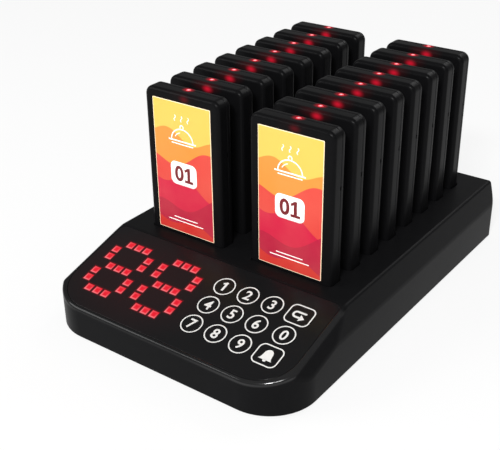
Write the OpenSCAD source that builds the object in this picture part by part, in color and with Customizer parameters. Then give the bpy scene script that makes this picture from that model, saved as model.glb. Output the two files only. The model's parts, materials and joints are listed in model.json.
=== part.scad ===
// Guest pager system: a counter unit with a sloping keypad and two-digit display,
// and a raised deck whose sixteen slots each hold and charge one pager.
// Origin: middle of the base's footprint, on the counter. +Z up, -Y the keypad side.
// The sloping panel has its own frame: x across, s down the slope from the deck's front edge.

/* [Base] */
// Height of the deck above the counter
deck_h = 37.5; // [36:0.5:46]
// Width of the deck beside the pagers, up to its side ridge
deck_margin = 15.7; // [14:0.1:22]
// Depth of the deck behind the pagers, up to the rear wall
rear_margin = 16.6; // [15:0.1:30]
// How far each side wall stands out from the deck's side ridge
side_run = 4.7; // [4:0.1:7]
// Height of the sloping side band beside the deck
side_band = 14; // [10:0.5:18]
// Height of the sloping side band beside the keypad panel, square to the panel
nose_band = 9; // [7:0.5:12]
// Radius of the two front corners
front_r = 28; // [20:1:34]
// Radius of the two rear corners
rear_r = 6; // [4:0.5:12]
// Wall thickness of the top shell
wall = 2.4; // [2:0.1:2.8]
// Height of the top shell's lower rim above the counter
rim_lift = 1.2; // [0.8:0.1:2]
// Thickness of the bottom cover
cover_t = 2.2; // [1.8:0.1:3]

/* [Keypad panel] */
// Length of the panel in front of the keypad board
panel_margin = 11.13; // [10:0.01:16]
// Tilt of the panel below level
panel_tilt = 16; // [13:0.5:17]
// Margin of the panel beside the glossy overlay
overlay_side_margin = 1.8; // [1.6:0.1:3]
// Margin of the panel in front of the overlay
overlay_front_margin = 2.2; // [2:0.1:3]
// Thickness of the overlay
overlay_t = 0.8; // [0.6:0.1:1]
// Gap between the deck's front edge and the overlay
overlay_gap = 0.8; // [0.6:0.1:1.2]
// Radius of the overlay's front corners
overlay_front_r = 21; // [14:0.5:22]
// Radius of the overlay's rear corners
overlay_rear_r = 4; // [2:0.5:6]

/* [Keys] */
// Gap between the display and the first key column
keypad_gap = 6.98; // [6.6:0.02:8]
// Gap between keys of the three number columns
key_gap_x = 2.55; // [2:0.05:3]
// Gap between the third column's keys and the square keys
key_last_gap_x = 2.7; // [2:0.05:3]
// Place of the first key row down the slope
key_s = 16.2; // [15.5:0.1:16.5]
// Gap between the key rows
key_gap_s = 1.66; // [1.4:0.02:2]
// Diameter of a round key
key_d = 13; // [12:0.1:14]
// Width of a square key
key_square_w = 15.4; // [14.8:0.1:15.6]
// Height of a square key down the slope
key_square_h = 13.6; // [13:0.1:13.6]
// Corner radius of a square key
key_square_r = 3.8; // [3:0.1:4.5]
// How far a key goes down
key_travel = 0.4; // [0.3:0.05:0.45]
// Width of the flange that holds a key under the panel
key_flange = 0.35; // [0.3:0.05:0.4]
// Diameter of a key's stem
key_stem_d = 4; // [3:0.1:5]

/* [Display] */
// Gap between the two display housings
digit_gap = 3.98; // [3:0.02:5]
// How far the display and the keys stand left of the panel's middle
layout_shift = 0.7; // [0:0.1:1.5]
// Place of the first row of lights down the slope
digit_s = 12.8; // [12.4:0.1:13.2]
// Spacing of the lights
light_pitch = 6.08; // [6:0.01:6.15]
// Side of one square light
light_side = 4.6; // [3.8:0.1:5]
// Margin of a display housing round its lights
display_margin = 1.1; // [0.9:0.1:1.4]
// Height of a tactile switch on the keypad board
switch_h = 3.4; // [2.8:0.1:4]

/* [Pagers] */
// Width of a pager
pager_w = 51.6; // [46:0.2:58]
// Thickness of a pager, front to back
pager_t = 11; // [10:0.1:12]
// Height of a pager
pager_h = 105.5; // [95:0.5:115]
// Corner radius of a pager seen from the front
pager_r = 5; // [4:0.5:7]
// Thickness of the rear shell, from the seam back
pager_rear_t = 4; // [3.8:0.1:5]
// Wall thickness of a pager's shells
pager_wall = 1.6; // [1.4:0.1:1.8]
// Radius of the soft edges round the front and rear faces
pager_edge_r = 2.3; // [1.7:0.1:2.6]
// Width of the label
label_w = 40; // [36:0.5:42]
// Height of the label
label_h = 79.6; // [70:0.2:80]
// Distance from the pager's top to the label
label_drop = 5.3; // [4.8:0.1:6]
// Thickness of the label
label_t = 0.25; // [0.1:0.05:0.3]
// Diameter of the light pipe in the pager's top edge
pipe_d = 3.2; // [2.8:0.1:3.6]
// Distance from the pager's top to its side notches
notch_drop = 32; // [25:0.5:40]

/* [Slots] */
// Gap between the two pager columns
column_gap = 19.4; // [17:0.1:26]
// Gap between two pagers of a column
row_gap = 9.3; // [6:0.1:14]
// Distance from the deck's front edge to the first pager
first_gap = 10; // [9:0.5:11]
// How deep a pager sits in its slot
seat_depth = 19; // [15:0.5:20]
// Clearance round a pager in its slot
slot_clear = 0.4; // [0.3:0.05:0.5]
// Wall thickness of a pocket in the tray
pocket_wall = 1.2; // [1:0.1:1.4]
// Thickness of the tray's flange and pocket floors
tray_t = 1.6; // [1.4:0.1:2]
// Spacing of a pager's two charging contacts
contact_pitch = 24; // [18:1:30]
// Diameter of a charging contact
contact_d = 3; // [2.4:0.1:3.2]
// Diameter of a charging pin
pin_d = 2; // [1.4:0.1:2.4]

/* [Boards and fittings] */
// Thickness of the circuit boards in the base
board_t = 1.6; // [1.2:0.1:2]
// Distance from the pockets' floors down to the main board
board_drop = 4.3; // [3.6:0.1:6]
// Diameter of the rubber feet
foot_d = 14; // [10:0.5:16]
// How far the feet are let into the bottom cover
foot_recess = 0.8; // [0.6:0.1:1]
// Bore of the power inlet
inlet_bore_d = 6.3; // [6:0.1:6.5]
// Outer diameter of the power inlet's nose
inlet_nose_d = 7.8; // [7.6:0.1:8.4]
// Distance from the side wall to the power inlet
inlet_inset = 29.7; // [25:0.1:34]
// Distance from the side wall to the power switch
power_inset = 29.7; // [25:0.1:34]
// Travel of the power switch's slider
power_travel = 4; // [3:0.5:5]
// Shank diameter of the case screws
screw_d = 2.5; // [2:0.1:3]

/* [Hidden] */
$fn = 40;
KEYS = ["1", "2", "3", "return", "4", "5", "6", "0", "7", "8", "9", "call"];
UNITS = ["a2", "a3", "a4", "a5", "a6", "a7", "a8", "b1", "b2", "b3", "b4", "b5", "b6", "b7", "b8"];

// Names of the colours
shell_black = "#1b1b1d";
gloss_black = "#101012";
board_green = "#1f5a38";
light_red = "#e8101c";
steel = "#b9bcc0";
gold = "#d0a440";

columns = 2;
rows = 8;
digit_cols = 5;
digit_rows = 7;

// Clearances by name
key_clear = 0.15;
seat_clear = 0.15;
cover_clear = 0.25;
light_clear = 0.1;
small_clear = 0.2;
press_gap = 0.1;
part_gap = 0.1;
screw_clear = 0.05;

// Depths below the panel's surface
skin_z = -wall;
key_flange_t = 0.8;
stem_len = 1.4;
switch_top_z = skin_z - key_flange_t - stem_len - key_travel - press_gap;
keypad_board_top = switch_top_z - switch_h;
switch_side = 6;
switch_body_h = 0.7 * switch_h;
switch_plunger_d = 3;
display_top_z = -overlay_t - small_clear;
light_top_z = -0.15;

// Size of a display housing
display_w = (digit_cols - 1) * light_pitch + light_side + 2 * display_margin;
display_h = (digit_rows - 1) * light_pitch + light_side + 2 * display_margin;
display_s0 = digit_s - light_side / 2 - display_margin;

// Display and keys across the panel, from the left housing to the square keys
key_pitch_x = key_d + key_gap_x;
key_last_pitch_x = (key_d + key_square_w) / 2 + key_last_gap_x;
key_pitch_s = key_d + key_gap_s;
keys_w = key_d / 2 + 2 * key_pitch_x + key_last_pitch_x + key_square_w / 2;
layout_w = 2 * display_w + digit_gap + keypad_gap + keys_w;
display_edge_x = -layout_w / 2 - layout_shift;
digit_left_x = display_edge_x + display_margin + light_side / 2;
digit_right_x = digit_left_x + display_w + digit_gap;
display_end_x = display_edge_x + 2 * display_w + digit_gap;
key_x = display_end_x + keypad_gap + key_d / 2;
keys_end_x = display_end_x + keypad_gap + keys_w;
keys_s1 = key_s + 2 * key_pitch_s + key_square_h / 2;

// Keypad board: its edges across and down the panel, and its four screws in the gaps beside
// the displays and the keys
board_post_d = 5;
board_post_gap = 0.5;
board_post_inset = 4;
board_screw_d = 2;
board_screw_len = 4;
board_screw_head_t = 1.2;
board_gap_x = (display_end_x + key_x - key_d / 2 - key_flange) / 2;
board_side_x = max(-display_edge_x, keys_end_x + key_flange) + board_post_d / 2 + board_post_gap;
board_screw_places = [
    [-board_side_x, key_s + key_pitch_s], [board_side_x, key_s + key_pitch_s],
    [board_gap_x, key_s - board_post_inset], [board_gap_x, keys_s1 - board_post_inset]
];
board_rim = 0.7;
board_wall_gap = 1.2;
board_front_rim = 1;
board_rear_rim = 3;
keypad_board_half = board_side_x + board_post_d / 2 + board_rim;
keypad_board_s0 = display_s0 - board_rear_rim;
keypad_board_s1 = max(keys_s1, display_s0 + display_h) + board_front_rim;
keypad_board_r = 8;

// Places in the base: it is as wide and as deep as the pagers, the board and the panel need
column_pitch = pager_w + column_gap;
row_pitch = pager_t + row_gap;
deck_w = 2 * max(column_pitch / 2 + pager_w / 2 + deck_margin, keypad_board_half + board_wall_gap);
base_w = deck_w + 2 * side_run;
panel_len = keypad_board_s1 + panel_margin;
panel_run = panel_len * cos(panel_tilt);
base_d = panel_run + first_gap + (rows - 1) * row_pitch + pager_t + rear_margin;
overlay_w = deck_w - 2 * overlay_side_margin;
overlay_len = panel_len - overlay_gap - overlay_front_margin;
front_y = -base_d / 2;
rear_y = base_d / 2;
deck_front_y = front_y + panel_run;
pager_front_y = deck_front_y + first_gap;
seat_z = deck_h - seat_depth;
cover_top = rim_lift + cover_t;
slot_w = pager_w + 2 * slot_clear;
slot_t = pager_t + 2 * slot_clear;
slot_r = pager_edge_r + slot_clear;
pocket_floor_z = seat_z - tray_t;
main_board_z = pocket_floor_z - board_drop;
deck_under_z = deck_h - wall;
tray_back_y = pager_front_y + (rows - 1) * row_pitch + pager_t + slot_clear + pocket_wall;
tray_front_y = pager_front_y - slot_clear - pocket_wall;
tray_half_w = column_pitch / 2 + slot_w / 2 + pocket_wall;
tray_flange = 1.6;
gutter = column_pitch - slot_w - 2 * pocket_wall;

// Six case screws, in bosses beside the tray and at the front corners
boss_d = 7;
boss_bore_d = screw_d + 2 * screw_clear;
boss_bore_len = 10;
boss_inset = 8;
screw_head_d = 5;
screw_head_t = 1;
driver_w = 3.2;
driver_t = 0.8;
driver_depth = 0.5;
boss_side_inset = 5;
boss_x = deck_w / 2 - boss_side_inset;
front_boss_x = base_w / 2 - front_r - boss_side_inset;
boss_places = [
    [-front_boss_x, front_y + boss_inset], [front_boss_x, front_y + boss_inset],
    [-boss_x, 0], [boss_x, 0],
    [-boss_x, rear_y - boss_inset - wall], [boss_x, rear_y - boss_inset - wall]
];
foot_side_inset = 21.7;
foot_front_inset = 24;
foot_rear_inset = 18;
foot_x = base_w / 2 - foot_side_inset;
front_foot_y = front_y + foot_front_inset;
rear_foot_y = rear_y - foot_rear_inset;
foot_places = [
    [-foot_x, front_foot_y], [foot_x, front_foot_y],
    [-foot_x, rear_foot_y], [foot_x, rear_foot_y]
];

// Stepped posts on the bottom cover: they carry the main board and the tray's floors
post_d = 7;
spigot_d = 3.4;
post_rows = [0, 2, 5, 7];
post_x = [-column_pitch / 2, column_pitch / 2];

// Main board
main_board_side_inset = 1;
main_board_front_rim = 1;
main_board_rear_inset = 2;
main_board_half = tray_half_w - main_board_side_inset;
main_board_y0 = tray_front_y - main_board_front_rim;
main_board_y1 = tray_back_y - main_board_rear_inset;
board_tab_w = 16;
board_tab_gap = 0.5;
plug_margin = 1;
cable_w = gutter - small_clear - 2 * plug_margin;
plug_s = 26;
plug_d = 6;
plug_h = 4.5;
ribbon_t = 0.6;

pin_base_rim = 0.6;
pin_base_h = 2;
radio_size = [14, 24, 3];
radio_setback = 33.3;
antenna_setback = 56.3;
radio_y = main_board_y0 + radio_setback;
antenna_y = main_board_y0 + antenna_setback;
antenna_base_d = 6;
antenna_base_h = 4;
antenna_d = 4;
antenna_top_gap = 1.5;
buzzer_setback = 96.3;
buzzer_y = main_board_y0 + buzzer_setback;
buzzer_d = 12;
buzzer_h = 7;
buzzer_hole_d = 2;
buzzer_hole_depth = 1.5;

// Power inlet and switch
inlet_x = -base_w / 2 + inlet_inset;
power_x = base_w / 2 - power_inset;
inlet_rise = 6;
power_rise = 4;
inlet_z = main_board_z + inlet_rise;
inlet_bore_len = 6;
inlet_well_d = 5.8;
inlet_well_len = 5;
inlet_pin_d = 2;
inlet_body_w = 9.2;
inlet_body_h = 11;
inlet_body_depth = 10;
nose_inset = 0.4;
slider_w = 4;
slider_h = 3.4;
slider_depth = 3;
power_z = main_board_z + power_rise;

// Pager details
pager_seam = pager_t - pager_rear_t;
contact_flange_t = 0.8;
contact_rim = 0.3;
contact_y = pager_edge_r + contact_d / 2 + contact_rim + part_gap;
pipe_clear = 0.1;
pipe_flange = 0.25;
pipe_flange_t = 0.9;
pipe_seat_gap = 0.3;
pipe_foot_z = pager_h - pager_wall - pipe_seat_gap - pipe_flange_t;
led_w = 3.2;
led_h = 2;
pager_fit = 0.15;
pager_board_t = 1;
pager_board_y = pager_seam - part_gap - pager_board_t;
pager_room = pager_board_y - pager_wall - pager_fit - part_gap;
notch_h = 2.6;
notch_w = 1.2;
notch_depth = 0.8;
battery_w = 30;
battery_h = 34;
battery_z = 14;
motor_d = 10;
motor_t = 2.8;
motor_z = 62;
sounder_d = 12;
sounder_t = 2.6;
sounder_z = 80;

// ---------- shapes that repeat ----------

// Rectangle with round corners, centred
module rounded_rect(w, h, r) {
    square([w - 2 * r, h], center = true);
    square([w, h - 2 * r], center = true);
    for (x = [-1, 1], y = [-1, 1]) {
        translate([x * (w / 2 - r), y * (h / 2 - r)]) circle(r);
    }
}

// Footprint with its own front and rear corner radii, drawn in by inset
module footprint(w, y0, y1, r_front, r_rear) {
    mid = (y0 + y1) / 2;
    translate([0, mid]) square([w - 2 * r_front, y1 - y0], center = true);
    translate([-w / 2, y0 + r_front]) square([w, y1 - y0 - r_front - r_rear]);
    translate([-w / 2 + r_rear, y0 + r_front]) square([w - 2 * r_rear, y1 - y0 - r_front]);
    for (x = [-1, 1]) {
        translate([x * (w / 2 - r_front), y0 + r_front]) circle(r_front, $fn = 96);
        translate([x * (w / 2 - r_rear), y1 - r_rear]) circle(r_rear);
    }
}

// The base's footprint, drawn in by inset
module base_footprint(inset) {
    footprint(base_w - 2 * inset, front_y + inset, rear_y - inset, front_r - inset, rear_r - inset);
}

// Moves its children into the panel's frame
module on_panel(x = 0, s = 0, z = 0) {
    translate([0, deck_front_y, deck_h]) rotate([panel_tilt, 0, 0]) translate([x, -s, z]) children();
}

// Trapezium under a ridge: its sides fall away at the side band's slope
module ridge_section(inset, band) {
    lean = side_run / band;
    slope = sqrt(1 + lean * lean);
    half = deck_w / 2 - inset * slope + inset * lean;
    polygon([[-half, -inset], [half, -inset],
             [half + base_d * lean, -inset - base_d], [-half - base_d * lean, -inset - base_d]]);
}

// The base's outer form, or the same form drawn in by a wall
module base_form(inset, z0) {
    intersection() {
        translate([0, 0, z0]) linear_extrude(deck_h - z0) base_footprint(inset);
        translate([0, rear_y + 1, deck_h]) rotate([90, 0, 0]) linear_extrude(base_d + 2) {
            ridge_section(inset, side_band);
        }
        on_panel() translate([0, base_d, 0]) rotate([90, 0, 0]) linear_extrude(base_d + 2 * panel_run) {
            ridge_section(inset, nose_band);
        }
    }
}

// Column and row of every pager slot
module each_slot(z) {
    for (column = [0 : columns - 1], row = [0 : rows - 1]) {
        at_slot(column, row, z) children();
    }
}

// Slot's frame: x across the pager, y back from its front face
module at_slot(column, row, z) {
    translate([(column - (columns - 1) / 2) * column_pitch, pager_front_y + row * row_pitch, z]) children();
}

// Outline of a slot, grown by a margin
module slot_outline(margin) {
    translate([0, pager_t / 2]) rounded_rect(slot_w + 2 * margin, slot_t + 2 * margin, slot_r + margin);
}

// Place of a key by its number in the grid
function key_col(i) = i % 4;
function key_row(i) = floor(i / 4);
function key_place(i) = [
    key_x + min(key_col(i), 2) * key_pitch_x + (key_col(i) == 3 ? key_last_pitch_x : 0),
    key_s + key_row(i) * key_pitch_s
];
function key_is_square(i) = KEYS[i] == "return" || KEYS[i] == "call";

// Outline of a key, grown by a margin
module key_outline(i, margin) {
    if (key_is_square(i)) {
        rounded_rect(key_square_w + 2 * margin, key_square_h + 2 * margin, key_square_r + margin);
    } else {
        circle(key_d / 2 + margin, $fn = 64);
    }
}

// Outline of the overlay, grown by a margin
module overlay_outline(margin) {
    footprint(overlay_w + 2 * margin, -overlay_gap - overlay_len - margin, -overlay_gap + margin,
              overlay_front_r + margin, overlay_rear_r + margin);
}

// Every light of the two digits: three squares in a level bar, two in an upright one
module each_light() {
    for (x0 = [digit_left_x, digit_right_x], col = [0 : digit_cols - 1], row = [0 : digit_rows - 1]) {
        if ((row % 3 == 0) != (col % 4 == 0)) {
            translate([x0 + col * light_pitch, -digit_s - row * light_pitch]) children();
        }
    }
}

// Middle of each display housing
module each_display() {
    for (x0 = [digit_left_x, digit_right_x]) {
        translate([x0 + (digit_cols - 1) * light_pitch / 2, -digit_s - (digit_rows - 1) * light_pitch / 2]) {
            children();
        }
    }
}

module each_place(places) {
    for (place = places) translate([place[0], place[1]]) children();
}

module each_board_screw() {
    each_place([for (place = board_screw_places) [place[0], -place[1]]]) children();
}

module each_post() {
    for (x = post_x, row = post_rows) {
        translate([x, pager_front_y + row * row_pitch + pager_t / 2]) children();
    }
}

// ---------- base ----------

// Screw bosses inside the top shell, trimmed by the shell's form
module shell_bosses() {
    intersection() {
        base_form(wall / 2, rim_lift);
        each_place(boss_places) translate([0, 0, cover_top]) cylinder(d = boss_d, h = deck_h);
    }
}

// Posts that hang from the panel's underside and carry the keypad board
module board_posts() {
    post_h = skin_z - keypad_board_top + wall / 4;
    on_panel(0, 0, keypad_board_top) each_board_screw() cylinder(d = board_post_d, h = post_h);
}

// Hollow casing: raised deck with the slots, sloping panel, side bands and walls
module top_shell() {
    color(shell_black) difference() {
        union() {
            difference() {
                base_form(0, rim_lift);
                base_form(wall, rim_lift - 1);
            }
            shell_bosses();
            board_posts();
        }
        each_slot(deck_h - wall - 1) linear_extrude(wall + 2) slot_outline(0);
        on_panel(0, 0, -overlay_t) linear_extrude(overlay_t + 1) overlay_outline(seat_clear);
        on_panel(0, 0, skin_z - 1) linear_extrude(wall + 1) {
            for (i = [0 : len(KEYS) - 1]) {
                translate([key_place(i)[0], -key_place(i)[1]]) key_outline(i, key_clear);
            }
            each_display() square([display_w + 2 * small_clear, display_h + 2 * small_clear], center = true);
        }
        translate([0, 0, cover_top - 1]) {
            each_place(boss_places) cylinder(d = boss_bore_d, h = boss_bore_len + 1);
        }
        on_panel(0, 0, keypad_board_top - 1) {
            each_board_screw() cylinder(d = board_screw_d + 2 * screw_clear, h = board_screw_len + 1.5);
        }
        power_inlet_hole();
        translate([0, rear_y + 1, 0]) slider_window(wall + 2);
    }
}

// Round hole for the inlet's nose
module power_inlet_hole() {
    translate([inlet_x, rear_y + 1, inlet_z]) rotate([90, 0, 0]) {
        cylinder(d = inlet_nose_d + 2 * seat_clear, h = wall + 2);
    }
}

// One moulding with a pocket for every pager, hung under the deck
module pager_tray() {
    color(shell_black) difference() {
        union() {
            translate([-tray_half_w - tray_flange, tray_front_y - tray_flange, deck_under_z - tray_t]) {
                cube([2 * (tray_half_w + tray_flange), tray_back_y - tray_front_y + 2 * tray_flange, tray_t]);
            }
            each_slot(pocket_floor_z) linear_extrude(deck_under_z - pocket_floor_z) slot_outline(pocket_wall);
        }
        each_slot(seat_z) linear_extrude(seat_depth) slot_outline(0);
        translate([-gutter / 2, tray_front_y + 2, deck_under_z - tray_t - 1]) {
            cube([gutter, tray_back_y - tray_front_y - 4, tray_t + 2]);
        }
        each_slot(pocket_floor_z - 1) each_pin() cylinder(d = pin_d + 2 * small_clear, h = tray_t + 2);
    }
}

// Plate that closes the base from below, with stepped posts and foot recesses
module bottom_cover() {
    inset = wall + cover_clear;
    color(shell_black) difference() {
        union() {
            translate([0, 0, rim_lift]) linear_extrude(cover_t) base_footprint(inset);
            each_post() {
                translate([0, 0, rim_lift]) cylinder(d = post_d, h = main_board_z - board_t - rim_lift);
                translate([0, 0, rim_lift]) cylinder(d = spigot_d, h = pocket_floor_z - rim_lift);
            }
        }
        each_place(foot_places) translate([0, 0, rim_lift - 1]) {
            cylinder(d = foot_d + 2 * small_clear, h = 1 + foot_recess);
        }
        each_place(boss_places) {
            translate([0, 0, rim_lift - 1]) {
                cylinder(d = screw_head_d + 2 * small_clear, h = 1 + screw_head_t);
            }
            translate([0, 0, rim_lift]) cylinder(d = screw_d + 2 * small_clear, h = cover_t + 1);
        }
    }
}

// Glossy sheet over the panel, cut out for the keys and for every light
module keypad_overlay() {
    color(gloss_black) on_panel(0, 0, -overlay_t) linear_extrude(overlay_t) difference() {
        overlay_outline(0);
        for (i = [0 : len(KEYS) - 1]) {
            translate([key_place(i)[0], -key_place(i)[1]]) key_outline(i, key_clear);
        }
        each_light() square(light_side + 2 * light_clear, center = true);
    }
}

// Two black housings behind the panel, one a digit
module display_housings() {
    color(gloss_black) on_panel(0, 0, keypad_board_top) {
        each_display() {
            translate([0, 0, (display_top_z - keypad_board_top) / 2]) {
                cube([display_w, display_h, display_top_z - keypad_board_top], center = true);
            }
        }
    }
}

// The square red lights that stand on the housings and fill the overlay's windows
module display_lights() {
    color(light_red) on_panel(0, 0, display_top_z) linear_extrude(light_top_z - display_top_z) {
        each_light() square(light_side, center = true);
    }
}

// Board behind the panel
module keypad_board() {
    color(board_green) on_panel(0, 0, keypad_board_top - board_t) linear_extrude(board_t) difference() {
        footprint(2 * keypad_board_half, -keypad_board_s1, -keypad_board_s0, keypad_board_r, 1);
        each_board_screw() circle(d = board_screw_d + 2 * small_clear);
    }
}

// Twelve tactile switches, one under each key
module key_switches() {
    color(steel) on_panel(0, 0, keypad_board_top) {
        for (i = [0 : len(KEYS) - 1]) {
            translate([key_place(i)[0], -key_place(i)[1], 0]) {
                translate([-switch_side / 2, -switch_side / 2, 0]) {
                    cube([switch_side, switch_side, switch_body_h]);
                }
                cylinder(d = switch_plunger_d, h = switch_h);
            }
        }
    }
}

// Board under the tray that charges the pagers
module main_board() {
    color(board_green) translate([0, 0, main_board_z - board_t]) linear_extrude(board_t) difference() {
        union() {
            translate([-main_board_half, main_board_y0]) {
                square([2 * main_board_half, main_board_y1 - main_board_y0]);
            }
            for (x = [inlet_x, power_x]) {
                translate([x - board_tab_w / 2, main_board_y1 - 1]) {
                    square([board_tab_w, rear_y - wall - board_tab_gap - main_board_y1 + 1]);
                }
            }
        }
        each_post() circle(d = spigot_d + 2 * small_clear);
    }
}

// Both contact places of one pager
module each_pin() {
    for (x = [-contact_pitch / 2, contact_pitch / 2]) translate([x, contact_y, 0]) children();
}

// Charging pins that stand on the main board and touch the pagers' contacts
module charging_pins() {
    color(gold) each_slot(main_board_z) each_pin() {
        cylinder(d = pin_d, h = seat_z - main_board_z);
        cylinder(d = pin_d + 2 * pin_base_rim, h = pin_base_h);
    }
}

// Flat cable between the two boards, with its plugs
module board_cable() {
    under_z = keypad_board_top - board_t;
    top_y = deck_front_y - plug_s * cos(panel_tilt) - under_z * sin(panel_tilt);
    top_z = deck_h - plug_s * sin(panel_tilt) + under_z * cos(panel_tilt);
    low_y = main_board_y0 + plug_d / 2;
    low_z = main_board_z + plug_h / 2;
    plug_w = cable_w + 2 * plug_margin;
    color("#3a3a3e") {
        on_panel(0, plug_s, under_z - plug_h) {
            translate([-plug_w / 2, -plug_d / 2, 0]) cube([plug_w, plug_d, plug_h]);
        }
        translate([-plug_w / 2, low_y, main_board_z]) cube([plug_w, plug_d, plug_h]);
        rotate([90, 0, 90]) translate([0, 0, -cable_w / 2]) linear_extrude(cable_w) polygon([
            [top_y + 1, top_z - plug_h / 2], [top_y + 6, low_z],
            [low_y + 1, low_z], [low_y + 1, low_z + ribbon_t],
            [top_y + 6 + ribbon_t / 2, low_z + ribbon_t],
            [top_y + 1 + ribbon_t, top_z - plug_h / 2 + ribbon_t]
        ]);
    }
}

// Radio transmitter, its antenna and the buzzer stand between the two rows of pockets
module radio_module() {
    color("#2c5f8a") translate([0, radio_y, main_board_z + radio_size[2] / 2]) {
        cube(radio_size, center = true);
    }
}

module antenna() {
    color(gold) translate([0, antenna_y, main_board_z]) {
        cylinder(d = antenna_base_d, h = antenna_base_h);
        cylinder(d = antenna_d, h = deck_under_z - main_board_z - antenna_top_gap);
    }
}

module buzzer() {
    color("#202022") translate([0, buzzer_y, main_board_z]) difference() {
        cylinder(d = buzzer_d, h = buzzer_h);
        translate([0, 0, buzzer_h - buzzer_hole_depth]) {
            cylinder(d = buzzer_hole_d, h = buzzer_hole_depth + 1);
        }
    }
}

// Power inlet: body on the main board, nose through the rear wall, bore for the plug and behind it
// a narrower well with the centre pin
module power_inlet() {
    mouth_y = rear_y - nose_inset;
    color(gloss_black) difference() {
        union() {
            translate([inlet_x - inlet_body_w / 2, rear_y - wall - inlet_body_depth, main_board_z]) {
                cube([inlet_body_w, inlet_body_depth, inlet_body_h]);
            }
            translate([inlet_x, mouth_y, inlet_z]) rotate([90, 0, 0]) cylinder(d = inlet_nose_d, h = wall);
        }
        translate([inlet_x, mouth_y + 1, inlet_z]) rotate([90, 0, 0]) {
            cylinder(d = inlet_bore_d, h = inlet_bore_len + 1);
        }
        translate([inlet_x, mouth_y - inlet_bore_len + 1, inlet_z]) rotate([90, 0, 0]) difference() {
            cylinder(d = inlet_well_d, h = inlet_well_len + 1);
            translate([0, 0, 1 + small_clear]) cylinder(d = inlet_pin_d, h = inlet_well_len + 1);
        }
    }
}

// Window round the slider's whole travel
module slider_window(depth) {
    window_w = slider_w + power_travel + 2 * seat_clear;
    window_h = slider_h + 2 * seat_clear;
    translate([power_x - window_w / 2, -depth, power_z - window_h / 2]) cube([window_w, depth, window_h]);
}

// Power switch: fixed body behind the rear wall, slider in the wall's window
module power_switch_body() {
    body_w = 14;
    body_d = 6.5;
    body_h = 8;
    color("#2a2a2c") difference() {
        translate([power_x - body_w / 2, rear_y - wall - body_d, main_board_z]) {
            cube([body_w, body_d, body_h]);
        }
        translate([0, rear_y, 0]) slider_window(wall + slider_depth);
    }
}

module power_switch_slider() {
    back_y = rear_y - wall - slider_depth + seat_clear;
    color("#4a4a4e") translate([power_x - (slider_w + power_travel) / 2, back_y, power_z - slider_h / 2]) {
        cube([slider_w, rear_y - nose_inset - back_y, slider_h]);
    }
}

module rubber_feet() {
    color("#151515") each_place(foot_places) cylinder(d = foot_d, h = rim_lift + foot_recess);
}

module case_screws() {
    color(steel) each_place(boss_places) {
        translate([0, 0, rim_lift]) difference() {
            cylinder(d = screw_head_d, h = screw_head_t);
            for (turn = [0, 90]) {
                rotate(turn) cube([driver_w, driver_t, 2 * driver_depth], center = true);
            }
        }
        translate([0, 0, rim_lift + driver_depth]) cylinder(d = screw_d, h = cover_t + boss_bore_len - 1.5);
    }
}

module board_screws() {
    color(steel) on_panel(0, 0, keypad_board_top - board_t - board_screw_head_t) each_board_screw() {
        cylinder(d = 2 * board_screw_d, h = board_screw_head_t);
        cylinder(d = board_screw_d, h = board_screw_head_t + board_t + board_screw_len);
    }
}

// ---------- keys ----------

// A key: cap flush with the overlay, flange under the panel's skin, stem over its switch
module key(i) {
    color(gloss_black) on_panel(key_place(i)[0], key_place(i)[1], 0) {
        translate([0, 0, skin_z]) linear_extrude(wall) key_outline(i, 0);
        translate([0, 0, skin_z - key_flange_t]) linear_extrude(key_flange_t) key_outline(i, key_flange);
        translate([0, 0, skin_z - key_flange_t - stem_len]) {
            cylinder(d = key_stem_d, h = stem_len + key_flange_t);
        }
    }
}

// ---------- pagers ----------

// A pager's outer form, or the same form drawn in by a wall: x centred, y back from the front
// face, z up from the foot
module pager_form(inset) {
    w = pager_w - 2 * inset;
    t = pager_t - 2 * inset;
    h = pager_h - 2 * inset;
    edge = max(pager_edge_r - inset, 0.3);
    translate([0, pager_t / 2, pager_h / 2]) intersection() {
        rotate([90, 0, 0]) linear_extrude(t, center = true) rounded_rect(w, h, pager_r - inset);
        linear_extrude(h, center = true) rounded_rect(w, t, edge);
        rotate([90, 0, 90]) linear_extrude(w, center = true) rounded_rect(t, h, edge);
    }
}

// Hollow case before it is parted at the seam
module pager_case() {
    difference() {
        pager_form(0);
        pager_form(pager_wall);
        translate([0, pager_seam, pager_h - pager_wall - 1]) {
            cylinder(d = pipe_d + 2 * pipe_clear, h = pager_wall + 2);
        }
        each_pin() translate([0, 0, -1]) cylinder(d = contact_d + 2 * light_clear, h = pager_wall + 2);
        for (x = [-1, 1]) {
            translate([x * pager_w / 2, pager_seam, pager_h - notch_drop]) {
                cube([2 * notch_depth, notch_w, notch_h], center = true);
            }
        }
    }
}

module pager_front_shell() {
    color(shell_black) intersection() {
        pager_case();
        translate([-pager_w, -1, -1]) cube([2 * pager_w, 1 + pager_seam - part_gap / 2, pager_h + 2]);
    }
}

module pager_rear_shell() {
    color(shell_black) intersection() {
        pager_case();
        translate([-pager_w, pager_seam + part_gap / 2, -1]) cube([2 * pager_w, pager_t, pager_h + 2]);
    }
}

module pager_label() {
    color("#f0522e") translate([-label_w / 2, -label_t, pager_h - label_drop - label_h]) {
        cube([label_w, label_t, label_h]);
    }
}

// Light pipe: it fills the round window in the top edge, with its flange inside
module pager_light_pipe() {
    color(light_red) translate([0, pager_seam, pipe_foot_z]) {
        cylinder(d = pipe_d, h = pager_h - pipe_foot_z);
        cylinder(d = pipe_d + 2 * pipe_flange, h = pipe_flange_t);
    }
}

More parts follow.
